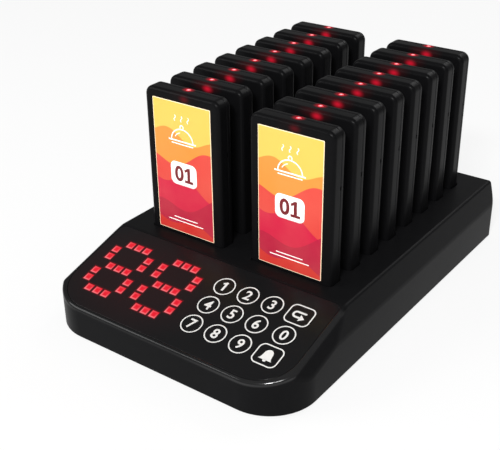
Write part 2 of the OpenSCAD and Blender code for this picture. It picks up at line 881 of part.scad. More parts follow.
// Board with its light source under the pipe
module pager_board() {
    half = pager_w / 2 - pager_wall - pager_fit;
    z0 = pager_wall + contact_flange_t + 2 * part_gap;
    z1 = pipe_foot_z - part_gap - led_h;
    color(board_green) {
        translate([0, pager_board_y + pager_board_t, (z0 + z1) / 2]) rotate([90, 0, 0]) {
            linear_extrude(pager_board_t) rounded_rect(2 * half, z1 - z0, pager_r - pager_wall);
        }
        translate([-led_w / 2, pager_board_y, z1 - 1]) cube([led_w, pager_board_t + 1, led_h + 1]);
    }
}

module pager_battery() {
    color("#9aa0a6") translate([-battery_w / 2, pager_wall + pager_fit, battery_z]) {
        cube([battery_w, pager_room, battery_h]);
    }
}

module pager_motor() {
    color(steel) translate([0, pager_board_y - part_gap, motor_z]) rotate([90, 0, 0]) {
        cylinder(d = motor_d, h = motor_t);
    }
}

module pager_sounder() {
    color("#202022") translate([0, pager_board_y - part_gap, sounder_z]) rotate([90, 0, 0]) {
        cylinder(d = sounder_d, h = sounder_t);
    }
}

// Two contacts, flush with the foot, each with a flange inside
module pager_contacts() {
    color(gold) each_pin() {
        cylinder(d = contact_d, h = pager_wall + part_gap + contact_flange_t);
        translate([0, 0, pager_wall + part_gap]) {
            cylinder(d = contact_d + 2 * contact_rim, h = contact_flange_t);
        }
    }
}

// A whole pager but for its label, as separate solids
module pager_unit() {
    pager_front_shell();
    pager_rear_shell();
    pager_light_pipe();
    pager_board();
    pager_battery();
    pager_motor();
    pager_sounder();
    pager_contacts();
}

// Column and row of a pager by its name: a or b, then 1 to 8 from the front
function unit_column(name) = name[0] == "a" ? 0 : 1;
function unit_row(name) = ord(name[1]) - ord("1");

// ---------- output ----------

top_shell();
pager_tray();
bottom_cover();
keypad_overlay();
display_housings();
display_lights();
keypad_board();
key_switches();
main_board();
charging_pins();
board_cable();
radio_module();
antenna();
buzzer();
power_inlet();
power_switch_body();
power_switch_slider();
rubber_feet();
case_screws();
board_screws();
for (i = [0 : len(KEYS) - 1]) {
    key(i);
}
at_slot(0, 0, seat_z) pager_front_shell();  // pager_a1_front_shell
at_slot(0, 0, seat_z) pager_rear_shell();  // pager_a1_rear_shell
at_slot(0, 0, seat_z) pager_label();  // pager_a1_label
at_slot(0, 0, seat_z) pager_light_pipe();  // pager_a1_light_pipe
at_slot(0, 0, seat_z) pager_board();  // pager_a1_board
at_slot(0, 0, seat_z) pager_battery();  // pager_a1_battery
at_slot(0, 0, seat_z) pager_motor();  // pager_a1_motor
at_slot(0, 0, seat_z) pager_sounder();  // pager_a1_sounder
at_slot(0, 0, seat_z) pager_contacts();  // pager_a1_contacts
for (name = UNITS) {
    union() {
        at_slot(unit_column(name), unit_row(name), seat_z) pager_unit();
    }
}
at_slot(1, 0, seat_z) pager_label();  // pager_b1_label
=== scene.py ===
"""Guest pager system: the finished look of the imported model.

Sizes are in millimetres, as in the part's source, and go to metres where a mesh is finished.
Three frames are used. The row frame has its origin under the middle of the base. The panel's frame
has x across, v up the slope from the deck's front edge and n square to the panel. A pager's frame has
x across, y back from its front face and z up from its foot.
"""
import json
from math import acos, cos, pi, radians, sin

import bmesh
import bpy
import numpy as np
from mathutils import Matrix, Vector


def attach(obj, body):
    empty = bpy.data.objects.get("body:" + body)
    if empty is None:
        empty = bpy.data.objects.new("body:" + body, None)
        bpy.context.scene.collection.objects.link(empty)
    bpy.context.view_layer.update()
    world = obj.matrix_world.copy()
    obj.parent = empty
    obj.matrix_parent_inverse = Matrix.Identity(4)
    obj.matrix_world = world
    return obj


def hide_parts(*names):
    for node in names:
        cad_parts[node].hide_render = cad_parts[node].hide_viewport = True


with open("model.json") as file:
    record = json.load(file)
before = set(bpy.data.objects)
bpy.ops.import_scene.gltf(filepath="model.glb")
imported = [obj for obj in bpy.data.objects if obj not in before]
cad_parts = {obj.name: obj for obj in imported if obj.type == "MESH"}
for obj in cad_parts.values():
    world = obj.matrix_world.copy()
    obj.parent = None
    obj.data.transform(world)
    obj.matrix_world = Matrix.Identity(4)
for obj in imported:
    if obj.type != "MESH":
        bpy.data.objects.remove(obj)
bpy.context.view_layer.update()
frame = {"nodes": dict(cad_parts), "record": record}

MM = 0.001

# Base
BASE_W, BASE_D, DECK_H, DECK_W = 163.4, 242.0, 37.5, 154.0
DECK_BAND, PANEL_BAND = 14.0, 9.0
FRONT_R, REAR_R, WALL, RIM = 28.0, 6.0, 2.4, 1.2
PANEL_RUN, PANEL_TILT = 62.3, radians(16)
BREAK_Y = -BASE_D / 2 + PANEL_RUN
EDGE_SOFTNESS = 1.5
RIDGE_DRAW = 0.66  # how far the deck's ridge moves in for each millimetre that the walls do
OVERLAY_W, OVERLAY_LEN, OVERLAY_T, OVERLAY_GAP = 150.4, 61.8, 0.8, 0.8
OVERLAY_FRONT_R, OVERLAY_REAR_R = 21.0, 4.0
# Keys and lights
KEY_X, KEY_PITCH, KEY_LAST_PITCH, KEY_S, KEY_PITCH_S = 11.3, 15.55, 16.9, 16.2, 14.66
KEY_D, KEY_SQUARE, KEY_SQUARE_R = 13.0, (15.4, 13.6), 3.8
KEYS = ("1", "2", "3", "return", "4", "5", "6", "0", "7", "8", "9", "call")
DIGIT_X, DIGIT_S, LIGHT_PITCH, LIGHT_SIDE = (-65.0, -29.9), 12.8, 6.08, 4.6
DISPLAY_W, DISPLAY_H = 31.12, 43.28
DISPLAYS_MIDDLE = (DIGIT_X[0] + DIGIT_X[1]) / 2 + 2 * LIGHT_PITCH
# Gaps round a key or the overlay, a light, a display's housing, and a light pipe or contact in their openings
KEY_GAP, LIGHT_GAP, HOUSING_GAP, PIPE_GAP = 0.15, 0.1, 0.2, 0.1
# Pagers and slots
PAGER_W, PAGER_T, PAGER_H, PAGER_R, SEAM, PAGER_EDGE, PAGER_WALL = 51.6, 11.0, 105.5, 5.0, 7.0, 2.3, 1.6
PIPE_D, NOTCH_DROP, CONTACT_X, CONTACT_Y, CONTACT_D = 3.2, 32.0, 12.0, 4.2, 3.0
LABEL_W, LABEL_H, LABEL_DROP, LABEL_T = 40.0, 79.6, 5.3, 0.25
COLUMN_PITCH, ROW_PITCH, FIRST_GAP, SEAT_DEPTH, SLOT_CLEAR = 71.0, 20.3, 10.0, 19.0, 0.4
SEAT_Z = DECK_H - SEAT_DEPTH
SLOT_LIP, SEAM_GAP, NOTCH_W, NOTCH_H = 0.7, 0.1, 1.2, 2.6
# Ink
INK_T, PLAQUE_T = 0.03, 0.05
FLAT_INK = [(0, 0), (0, INK_T)]
# Rear wall
INLET_X, INLET_Z, INLET_HOLE = -52.0, 18.6, 8.1
SWITCH_X, SWITCH_Z, SWITCH_HOLE = 52.0, 16.6, (8.3, 3.7)
# Room: the world's strength off camera, the floor's paint and its glow for the eye and for reflections
SKY, FLOOR_PAINT, FLOOR_GLOW, FLOOR_SHARE, FLOOR_HALF = 0.35, 0.82, 0.98, 0.8, 4.0
LAMPS = (  # name, place and aim in metres, size, power
    ("key_lamp", (0.74, -1.12, 1.28), (0, 0, 0.06), (0.34, 0.34), 9),
    ("glint_lamp", (0.45, -1.3, 1.12), (0, -0.1, 0.03), (0.3, 0.16), 22),
    ("fill_lamp", (-1.3, -1.1, 0.9), (0, 0, 0.06), (0.9, 0.9), 14),
    ("back_lamp", (0.3, 1.5, 1.3), (0, 0, 0.08), (1.2, 0.6), 10),
)
# Camera: turn, height and roll, its place from CAMERA_FROM in column spacings (right, up, back), and its lens
CAMERA_TURN, CAMERA_RISE, CAMERA_ROLL = radians(36.5282), radians(28.1558), radians(-0.7075)
CAMERA_FROM, CAMERA_OFFSET = (0, -48.7, 123.5), (0.1200, -0.8438, 6.7857)
FOCAL_PIXELS, PICTURE_W, SENSOR_W = 939.1135, 500, 36


# ---------- places ----------

def in_row(p):
    """Row frame: points stay where they are."""
    return p


def on_panel(p):
    """Panel frame to row frame: x stays, v runs up the slope, n stands square to it."""
    x, v, n = p[..., 0], p[..., 1], p[..., 2]
    return np.stack([x, BREAK_Y + v * cos(PANEL_TILT) - n * sin(PANEL_TILT),
                     DECK_H + v * sin(PANEL_TILT) + n * cos(PANEL_TILT)], -1)


def key_place(i):
    """Middle of key number i in the panel's frame."""
    column, row = i % 4, i // 4
    x = KEY_X + min(column, 2) * KEY_PITCH + (KEY_LAST_PITCH if column == 3 else 0)
    return x, -KEY_S - row * KEY_PITCH_S


def slot_place(column, row):
    """Foot of a pager's front face, in the row frame."""
    return np.array([(column - 0.5) * COLUMN_PITCH, BREAK_Y + FIRST_GAP + row * ROW_PITCH, SEAT_Z])


def upright(p):
    """Outline across x and z, height back along y."""
    return np.stack([p[..., 0], p[..., 2], p[..., 1]], -1)


# ---------- outlines and surfaces ----------

def rounded(w, h, r, steps=8):
    """Rectangle with round corners, as corner centre + r (cos a, sin a) for a turning through four quarters."""
    a = np.linspace(0, pi / 2, steps + 1)[None, :] + np.arange(4)[:, None] * pi / 2
    cx = (w / 2 - r) * np.array([1, -1, -1, 1])[:, None]
    cy = (h / 2 - r) * np.array([1, 1, -1, -1])[:, None]
    return np.stack([cx + r * np.cos(a), cy + r * np.sin(a)], -1).reshape(-1, 2)


def round_disc(d, steps=48):
    """Circle d (cos a, sin a) / 2."""
    a = np.arange(steps) * 2 * pi / steps
    return np.stack([np.cos(a), np.sin(a)], -1) * d / 2


def overlay_outline(margin=0.0, steps=16):
    """The overlay's edge in the panel's frame: two corner radii at its rear, two larger ones at its front."""
    y1, y0 = -OVERLAY_GAP + margin, -OVERLAY_GAP - OVERLAY_LEN - margin
    half = OVERLAY_W / 2 + margin
    r = np.array([OVERLAY_REAR_R, OVERLAY_REAR_R, OVERLAY_FRONT_R, OVERLAY_FRONT_R])[:, None] + margin
    a = np.linspace(0, pi / 2, steps + 1)[None, :] + np.arange(4)[:, None] * pi / 2
    cx = np.array([1, -1, -1, 1])[:, None] * (half - r)
    cy = np.array([y1, y1, y0, y0])[:, None] + np.array([-1, -1, 1, 1])[:, None] * r
    return np.stack([cx + r * np.cos(a), cy + r * np.sin(a)], -1).reshape(-1, 2)


def lofted(rings, ring_closed=False):
    """Points and faces of a surface through m outlines of n points each, ring after ring.

    Each face joins points j and j + 1 of one ring to the same points of the next. The first and last
    rings are closed with a flat face, or joined to each other."""
    rings = np.asarray(rings, float)
    m, n = rings.shape[:2]
    i = np.arange(m if ring_closed else m - 1)[:, None]
    j = np.arange(n)[None, :]
    k = (i + 1) % m
    after = (j + 1) % n
    faces = np.stack([i * n + j, i * n + after, k * n + after, k * n + j], -1).reshape(-1, 4).tolist()
    if not ring_closed:
        faces += [list(range(n))[::-1], list(range((m - 1) * n, m * n))]
    return rings.reshape(-1, 3), faces


def solid_from(outline, profile, at=(0, 0), place=in_row):
    """Solid that has the section outline(margin) at each (margin, height) of its profile."""
    rings = []
    for margin, height in profile:
        flat = outline(margin) + np.asarray(at)
        rings.append(np.column_stack([flat, np.full(len(flat), height)]))
    points, faces = lofted(rings)
    return place(points), faces


def band_between(outer, inner, low, high, at=(0, 0), place=in_row):
    """Flat printed ring: outer edge up, across the top, inner edge down, and back under."""
    rings = [np.column_stack([edge + np.asarray(at), np.full(len(edge), z)])
             for edge, z in ((outer, low), (outer, high), (inner, high), (inner, low))]
    points, faces = lofted(rings, ring_closed=True)
    return place(points), faces


def swept(path, width, low, high, at=(0, 0), place=in_row):
    """Flat printed stroke: the path's points moved half a width to either side along its normal."""
    path = np.asarray(path, float)
    t = np.gradient(path, axis=0)
    t /= np.linalg.norm(t, axis=1)[:, None]
    side = np.stack([-t[:, 1], t[:, 0]], -1) * width / 2
    outline = np.concatenate([path + side, (path - side)[::-1]])
    return solid_from(lambda m: outline, [(0, low), (0, high)], at, place)


def together(*parts):
    """Several (points, faces) as one."""
    points, faces, count = [], [], 0
    for p, f in parts:
        points.append(p)
        faces += [[v + count for v in face] for face in f]
        count += len(p)
    return np.concatenate(points), faces


# ---------- from points to pieces ----------

def draft(name, points, faces):
    """A working object, still in millimetres, with its faces turned outwards."""
    mesh = bpy.data.meshes.new(name)
    mesh.from_pydata(np.asarray(points, float).tolist(), [], faces)
    bm = bmesh.new()
    bm.from_mesh(mesh)
    bmesh.ops.recalc_face_normals(bm, faces=bm.faces)
    bm.to_mesh(mesh)
    bm.free()
    made = bpy.data.objects.new(name, mesh)
    bpy.context.scene.collection.objects.link(made)
    return made


def worked(made, *steps):
    """Applies modifiers, each (kind, settings), to a working object."""
    for kind, settings in steps:
        modifier = made.modifiers.new(kind, kind)
        for key, value in settings.items():
            setattr(modifier, key, value)
    graph = bpy.context.evaluated_depsgraph_get()
    mesh = bpy.data.meshes.new_from_object(made.evaluated_get(graph), depsgraph=graph)
    made.modifiers.clear()
    old, made.data = made.data, mesh
    bpy.data.meshes.remove(old)
    return made


def carved(made, cutter):
    """Takes the cutter's solids (points, faces) out of a working object."""
    tool = draft("cutter", *cutter)
    worked(made, ("BOOLEAN", {"operation": "DIFFERENCE", "solver": "EXACT", "object": tool}))
    bpy.data.objects.remove(tool)
    return made


def finished(made, crease=35, weighted=True):
    """Smooth faces with sharp creases, normals led by the large faces, and the size in metres."""
    mesh = made.data
    mesh.shade_smooth()
    mesh.set_sharp_from_angle(angle=radians(crease))
    if weighted:
        worked(made, ("WEIGHTED_NORMAL", {"mode": "FACE_AREA", "weight": 50, "keep_sharp": True}))
        mesh = made.data
    p = np.empty(len(mesh.vertices) * 3)
    mesh.vertices.foreach_get("co", p)
    mesh.vertices.foreach_set("co", p * MM)
    mesh.update()
    bpy.data.objects.remove(made)
    return mesh


def put(name, mesh, body, slot, finish, stands_for=(), shift=None, local=False):
    """Makes a mesh a piece: moved by shift (mm), riding on its body, in its finish.

    With local, each point keeps its unmoved place in the attribute named place."""
    mesh = mesh.copy() if shift is not None else mesh
    mesh.name = name
    p = np.empty(len(mesh.vertices) * 3)
    mesh.vertices.foreach_get("co", p)
    if local:
        mesh.attributes.new("place", "FLOAT_VECTOR", "POINT").data.foreach_set("vector", p)
    if shift is not None:
        p = p.reshape(-1, 3) + np.asarray(shift) * MM
        mesh.vertices.foreach_set("co", p.ravel())
        mesh.update()
    made = bpy.data.objects.new(name, mesh)
    bpy.context.scene.collection.objects.link(made)
    mesh.materials.clear()
    mesh.materials.append(finish)
    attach(made, body)
    if stands_for:
        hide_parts(*stands_for)
    return made


def lettering(word, height, thickness, weight=0.0):
    """A plain figure from the built-in face as a flat solid, centred, height tall, in millimetres."""
    curve = bpy.data.curves.new("figure", "FONT")
    curve.body = word
    curve.size = 10
    curve.offset = weight
    curve.extrude = 0.5
    curve.resolution_u = 6
    holder = bpy.data.objects.new("figure", curve)
    bpy.context.scene.collection.objects.link(holder)
    graph = bpy.context.evaluated_depsgraph_get()
    mesh = bpy.data.meshes.new_from_object(holder.evaluated_get(graph), depsgraph=graph)
    bpy.data.objects.remove(holder)
    bm = bmesh.new()
    bm.from_mesh(mesh)
    bmesh.ops.remove_doubles(bm, verts=bm.verts, dist=1e-4)
    bmesh.ops.recalc_face_normals(bm, faces=bm.faces)
    points = np.array([v.co[:] for v in bm.verts])
    faces = [[v.index for v in f.verts] for f in bm.faces]
    bm.free()
    bpy.data.meshes.remove(mesh)
    low, high = points.min(0), points.max(0)
    points -= (low + high) / 2
    points[:, :2] *= height / (high[1] - low[1])
    points[:, 2] *= thickness / (high[2] - low[2])
    return points, faces


def upright_one(height, thickness, foot=False):
    """Bold figure one: a stem with a flag to its left, and with foot a level bar below."""
    upper = [[0.45, 1], [0.29, 1], [0.0, 0.8], [0.085, 0.665], [0.23, 0.755]]
    outline = [[0.23, 0], [0.45, 0]] + upper
    if foot:
        outline = [[0.02, 0], [0.66, 0], [0.66, 0.17], [0.45, 0.17]] + upper + [[0.23, 0.17], [0.02, 0.17]]
    outline = (np.array(outline) - [0.31, 0.5]) * height
    return solid_from(lambda m: outline, [(0, -thickness / 2), (0, thickness / 2)])


# ---------- finishes ----------

class Term:
    """One output of a finish's node. Sums written on it add Math nodes, also with a number on the left."""

    def __init__(self, finish, socket):
        self.finish, self.socket = finish, socket

    def math(self, operation, *terms):
        return self.finish.node("Math", {"operation": operation}, dict(enumerate(terms)))

    def __add__(self, other):
        return self.math("ADD", self, other)

    def __sub__(self, other):
        return self.math("SUBTRACT", self, other)

    def __rsub__(self, other):
        return self.math("SUBTRACT", other, self)

    def __mul__(self, other):
        return self.math("MULTIPLY", self, other)

    def __truediv__(self, other):
        return self.math("DIVIDE", self, other)

    def __pow__(self, other):
        return self.math("POWER", self, other)

    def __abs__(self):
        return self.math("ABSOLUTE", self)

    __radd__ = __add__
    __rmul__ = __mul__

    def sine(self):
        return self.math("SINE", self)

    def nearest(self):
        return self.math("ROUND", self)

    def wrapped(self, low, high):
        return self.math("WRAP", self, high, low)

    def least(self, other):
        return self.math("MINIMUM", self, other)

    def most(self, other):
        return self.math("MAXIMUM", self, other)

    def rise(self, low, high):
        """0 below low, 1 above high, a soft step between."""
        return self.finish.node("MapRange", {"interpolation_type": "SMOOTHSTEP"},
                                {"Value": self, "From Min": low, "From Max": high})

    def fall(self, low, high):
        """1 below low, 0 above high."""
        return 1.0 - self.rise(low, high)


class Finish:
    """A material in the making."""

    def __init__(self, name):
        self.material = bpy.data.materials.new(name)
        self.material.use_nodes = True
        self.tree = self.material.node_tree
        self.tree.nodes.clear()

    def node(self, kind, settings=None, inputs=None, output=0):
        """Adds one node: its settings first (stops are a ramp's), then its sockets' values or links."""
        made = self.tree.nodes.new("ShaderNode" + kind)
        for key, value in (settings or {}).items():
            if key == "stops":
                ramp = made.color_ramp
                while len(ramp.elements) < len(value):
                    ramp.elements.new(1.0)
                for element, (position, colour) in zip(ramp.elements, value):
                    element.position = position
                    element.color = (*colour, 1.0)
            else:
                setattr(made, key, value)
        for key, value in (inputs or {}).items():
            if isinstance(value, Term):
                self.tree.links.new(value.socket, made.inputs[key])
            else:
                socket = made.inputs[key]
                socket.default_value = (*value, 1.0) if socket.type == "RGBA" and len(value) == 3 else value
        return Term(self, made.outputs[output]) if made.outputs else made

    def mix(self, share, first, second):
        """Colour between first (share 0) and second (share 1)."""
        first, second = (c if isinstance(c, Term) else (*c, 1.0) for c in (first, second))
        return self.node("Mix", {"data_type": "RGBA"}, {0: share, 6: first, 7: second}, 2)

    def here(self):
        """Place on the object in metres."""
        return self.node("TexCoord", output=3)

    def place(self):
        """Place on a pager in its own frame, in millimetres, as three terms."""
        local = self.node("Attribute", {"attribute_name": "place"}, output=1)
        return self.split(local)

    def split(self, vector):
        """A vector's three parts in millimetres."""
        parts = self.node("SeparateXYZ", inputs={0: vector})
        outputs = parts.socket.node.outputs
        return tuple(Term(self, outputs[i]) * 1000.0 for i in range(3))

    def panel_place(self):
        """Place on the base in the panel's frame, as three terms."""
        x, y, z = self.split(self.here())
        back, up = y - BREAK_Y, z - DECK_H
        return (x, back * cos(PANEL_TILT) + up * sin(PANEL_TILT), up * cos(PANEL_TILT) - back * sin(PANEL_TILT))

    def noise(self, scale, detail=3.0, roughness=0.5):
        return self.node("TexNoise", inputs={"Vector": self.here(), "Scale": scale, "Detail": detail,
                                             "Roughness": roughness})

    def bump(self, height, distance):
        """Fine relief: height 0 to 1 over a distance in metres."""
        return self.node("Bump", inputs={"Height": height, "Distance": distance, "Strength": 1.0})

    def surface(self, **sockets):
        """Principled surface with these sockets (names with _ for spaces), and the material itself."""
        shader = self.node("BsdfPrincipled", inputs={k.replace("_", " "): v for k, v in sockets.items()})
        self.node("OutputMaterial", inputs={"Surface": shader})
        return self.material


def srgb(r, g, b):
    """Screen colour 0-255 as a linear colour."""
    c = np.array([r, g, b]) / 255
    return tuple(np.where(c <= 0.04045, c / 12.92, ((c + 0.055) / 1.055) ** 2.4).tolist())


def grained_plastic(name, colour, rough):
    """Moulded plastic: fine spark-eroded grain, slow drift in gloss, a little dust in the colour."""
    f = Finish(name)
    slow = f.noise(14, 2)
    mid = f.noise(260, 3)
    fine = f.noise(2600, 2, 0.6)
    dusty = f.mix(mid * 0.6, colour, tuple(c * 1.35 + 0.0006 for c in colour))
    return f.surface(Base_Color=dusty, Roughness=rough + (slow - 0.5) * 0.06 + (fine - 0.5) * 0.08,
                     Normal=f.bump(fine + mid * 0.3, 0.00002), Specular_IOR_Level=0.16)


def base_plastic():
    """Base moulding: satin black, polished along the rim that frames the overlay."""
    f = Finish("base_moulding")
    x, v, n = f.panel_place()
    polish = n.rise(-2.6, -0.9) * v.fall(-6.0, -2.0)
    shine = polish * (x.rise(10.0, 60.0) * 0.6 + 0.3)
    slow, mid, fine = f.noise(14, 2), f.noise(260, 3), f.noise(2600, 2, 0.6)
    return f.surface(Base_Color=f.mix(mid * 0.6, srgb(14, 14, 15), srgb(19, 19, 20)),
                     Roughness=0.36 + (slow - 0.5) * 0.07 + (fine - 0.5) * 0.08 - polish * 0.08,
                     Normal=f.bump((fine + mid * 0.3) * (1.0 - polish), 0.00002), Specular_IOR_Level=0.035,
                     Coat_Weight=shine, Coat_Roughness=0.12)


def pager_plastic(name, painted_patch_strength):
    """Pager shells: smooth black plastic, with painted red light in the emission: a glow round the light pipe, and
    a red spot on the face that stands in for the light of the pager in front.
    """
    f = Finish(name)
    x, y, z = f.place()
    slow = f.noise(30, 2)
    fine = f.noise(1800, 2, 0.6)
    top = z - PAGER_H
    ring = ((x / 1.25) ** 2.0 + (y - SEAM) ** 2.0) ** 0.5
    # Painted glow: red light round the light pipe, painted on the shell's top.
    painted_pipe_halo = ring.fall(PIPE_D / 2 - 0.2, PIPE_D / 2 + 2.6) ** 2.0 * top.rise(-1.2, -0.1)
    # Painted light: a red spot and a wider faint glow on the face, for the light of the pager in front.
    spill = (((x - 2.2) / 4.4) ** 2.0 + ((top + 3.0) / 2.6) ** 2.0) ** 0.5
    glow = spill.fall(0.0, 1.25) ** 1.6 * y.fall(1.2, 2.2) * painted_patch_strength
    wide = (((x - 1.0) / 13.0) ** 2.0 + ((top + 1.5) / 5.0) ** 2.0) ** 0.5
    glow = glow + wide.fall(0.0, 1.0) * y.fall(1.5, 2.5) * (0.06 * painted_patch_strength)
    red = f.mix((painted_pipe_halo * 0.55 + glow).least(1.0), (0.0, 0.0, 0.0), srgb(196, 12, 40))
    base = f.mix(f.noise(300, 2) * 0.5, srgb(12, 12, 13), srgb(16, 16, 17))
    return f.surface(Base_Color=base, Roughness=0.3 + (slow - 0.5) * 0.08 + (fine - 0.5) * 0.06,
                     Specular_IOR_Level=0.04, Normal=f.bump(fine, 0.000012), Emission_Color=red,
                     Emission_Strength=1.0)


def pipe_glow():
    """Light pipe: a pale hot core that turns red towards the rim."""
    f = Finish("light_pipe_lit")
    x, y, z = f.place()
    r = ((x ** 2.0 + (y - SEAM) ** 2.0) ** 0.5) / (PIPE_D / 2)
    colour = f.node("ValToRGB", {"stops": [(0.0, srgb(255, 226, 226)), (0.42, srgb(255, 150, 158)),
                                           (0.72, srgb(232, 40, 58)), (1.0, srgb(120, 4, 18))]}, {0: r})
    return f.surface(Base_Color=srgb(150, 10, 24), Roughness=0.2, Emission_Color=colour, Emission_Strength=1.15)


def light_cell(f):
    """Place in the lattice of the display's lights: u and w from the middle of the nearest square, and 1
    where that square is a light, 0 where it is left out. The outer columns hold upright bars, and the
    first, middle and last rows hold level ones; where both or neither would stand there is no light."""
    x, v, n = f.panel_place()
    second = x.rise(DISPLAYS_MIDDLE - 0.05, DISPLAYS_MIDDLE + 0.05)
    column = (x - DIGIT_X[0] - second * (DIGIT_X[1] - DIGIT_X[0])) / LIGHT_PITCH - 2.0
    row = (v + DIGIT_S) / LIGHT_PITCH + 3.0
    c, r = column.nearest(), row.nearest()
    upright_bar = abs(c).rise(1.4, 1.6)
    level_bar = abs(abs(r) - 1.5).rise(1.1, 1.3)
    lit = abs(upright_bar - level_bar) * abs(c).fall(2.4, 2.6) * abs(r).fall(3.4, 3.6)
    return (column - c) * LIGHT_PITCH, (row - r) * LIGHT_PITCH, lit


def display_glow():
    """Square lights: a deep red middle, a paler rim strongest below that is a painted reflection on the lens, a
    dark outer edge.
    """
    f = Finish("display_light_lit")
    u, w, lit = light_cell(f)
    half = LIGHT_SIDE / 2
    edge = abs(u).most(abs(w)) / half
    grain = f.noise(700, 2)
    # Painted reflection: the paler rim, strongest below and a little to the left, with a random grain.
    pale = edge.rise(0.42, 0.8) * (0.5 - w * 0.17 - u * 0.08) + (grain - 0.5) * 0.3
    colour = f.mix(pale.most(0.0).least(1.0), srgb(214, 18, 40), srgb(244, 128, 134))
    colour = f.mix(edge.rise(0.86, 1.0) * 0.6, colour, srgb(120, 6, 18))
    return f.surface(Base_Color=srgb(96, 6, 12), Roughness=0.3, Specular_IOR_Level=0.2, Emission_Color=colour,
                     Emission_Strength=0.96)


def overlay_gloss():
    """Overlay: smooth printed film, faint pressing marks, and a painted red glow round every light and faintly
    round the displays, standing in for light scattered in the film.
    """
    f = Finish("overlay_film")
    u, w, lit = light_cell(f)
    # Painted glow: red emission round each lit square.
    painted_glow_near = (abs(u).most(abs(w)) - LIGHT_SIDE / 2).fall(0.0, 1.25) * lit
    x, v, n = f.panel_place()
    # Painted glow: a faint wide red haze round the displays.
    away = (((x - DISPLAYS_MIDDLE) / 46.0) ** 2.0 + ((v + DIGIT_S + 3 * LIGHT_PITCH) / 34.0) ** 2.0) ** 0.5
    smudge = f.noise(45, 3)
    fine = f.noise(2400, 2, 0.6)
    red = f.mix((painted_glow_near * 0.8 + away.fall(0.35, 1.35) * 0.1).least(1.0), (0.0, 0.0, 0.0), srgb(112, 2, 14))
    base = f.mix(smudge * 0.5, srgb(17, 17, 18), srgb(22, 22, 23))
    return f.surface(Base_Color=base, Roughness=0.2 + (smudge - 0.5) * 0.1 + (fine - 0.5) * 0.03,
                     Specular_IOR_Level=0.1, Normal=f.bump(fine, 0.000006), Emission_Color=red,
                     Emission_Strength=0.6)


def key_gloss():
    """Key caps: the overlay's black with a slightly worn middle."""
    f = Finish("key_cap_gloss")
    wear = f.noise(120, 3)
    fine = f.noise(2400, 2, 0.6)
    return f.surface(Base_Color=f.mix(wear * 0.5, srgb(16, 16, 17), srgb(23, 23, 24)), Specular_IOR_Level=0.1,
                     Roughness=0.22 + (wear - 0.5) * 0.12, Normal=f.bump(fine, 0.000006))


def print_ink(name, colour, worn=0.12):
    """Screen-printed ink: nearly even, thinner in places."""
    f = Finish(name)
    thin = f.noise(900, 3)
    return f.surface(Base_Color=f.mix(thin * worn * 2, colour, tuple(c * 0.72 for c in colour)),
                     Roughness=0.42 + (thin - 0.5) * 0.1, Specular_IOR_Level=0.25, Normal=f.bump(thin, 0.000008))


def label_print():
    """Label: wide level waves of warm colours from yellow at the top to crimson at the foot, pale border."""
    f = Finish("label_waves")
    x, y, z = f.place()
    down = (PAGER_H - LABEL_DROP) - z
    colour = srgb(206, 182, 82)
    waves = (  # drop of the wave's middle, rise, length, phase, lean, colour below it
        (20.0, 3.2, 33.0, 0.4, 0.10, srgb(206, 134, 54)),
        (33.0, 4.0, 41.0, 2.3, -0.16, srgb(202, 62, 56)),
        (48.5, 3.6, 36.0, 4.4, 0.20, srgb(188, 0, 58)),
        (61.0, 4.4, 47.0, 1.2, -0.22, srgb(166, 0, 54)),
        (73.5, 2.6, 38.0, 3.5, 0.12, srgb(190, 34, 36)),
    )
    for drop, rise, length, phase, lean, below in waves:
        line = down - x * lean - (x * (2 * pi / length) + phase).sine() * rise
        colour = f.mix(line.rise(drop - 0.12, drop + 0.12), colour, below)
    tint = f.noise(55, 2)
    colour = f.mix(tint * 0.1, colour, srgb(255, 190, 150))
    half_w, half_h = LABEL_W / 2, LABEL_H / 2
    rim = (abs(x) - half_w).most(abs(down - half_h) - half_h)
    colour = f.mix(rim.rise(-0.42, -0.3), colour, srgb(250, 226, 190))
    fibre = f.noise(1500, 3)
    return f.surface(Base_Color=colour, Roughness=0.38 + (fibre - 0.5) * 0.12, Specular_IOR_Level=0.08,
                     Normal=f.bump(fibre, 0.00001))


def metal(name, colour, rough, streaks=900):
    """Metal fittings: brushed variation and a few dull spots."""
    f = Finish(name)
    line = f.noise(streaks, 3)
    dull = f.noise(160, 2)
    return f.surface(Base_Color=f.mix(dull * 0.5, colour, tuple(c * 0.7 for c in colour)), Metallic=1.0,
                     Roughness=rough + (line - 0.5) * 0.2, Normal=f.bump(line, 0.00001))


def circuit_board():
    """Circuit board: green mask over tracks that run level and upright, with a weave below."""
    f = Finish("circuit_board")
    x, y, z = f.split(f.here())
    lanes = f.noise(260, 1)
    across = (x / 2.6 + lanes * 2.0).wrapped(0.0, 1.0).rise(0.42, 0.5)
    along = ((y + z) / 3.4 + lanes).wrapped(0.0, 1.0).rise(0.4, 0.5)
    track = across * along.fall(0.2, 0.8)
    base = f.mix(track * 0.55, srgb(20, 84, 50), srgb(44, 120, 74))
    return f.surface(Base_Color=base, Roughness=0.35 + lanes * 0.1, Normal=f.bump(track, 0.00003))


def rubber():
    """Feet: matt rubber with dust."""
    f = Finish("foot_rubber")
    dust = f.noise(420, 4)
    return f.surface(Base_Color=f.mix(dust * 0.6, srgb(24, 24, 24), srgb(52, 51, 50)), Roughness=0.85,
                     Normal=f.bump(dust, 0.00006))


shell_black = base_plastic()
tray_black = grained_plastic("tray_moulding", srgb(16, 16, 17), 0.5)
# Two copies of the pager finish: the front row has only a faint painted red spot, the rows behind a strong one for
# the light of the pager in front.
shells_faint_painted_light = pager_plastic("pager_shell_faint_painted_light", 0.16)
shells_painted_light = pager_plastic("pager_shell_painted_light", 0.95)
film = overlay_gloss()
cap = key_gloss()
white_ink = print_ink("white_ink", srgb(206, 206, 204))
brown_ink = print_ink("figure_ink", srgb(112, 30, 36))
label_ink = print_ink("label_white_ink", srgb(255, 250, 246), 0.04)


# ---------- base ----------

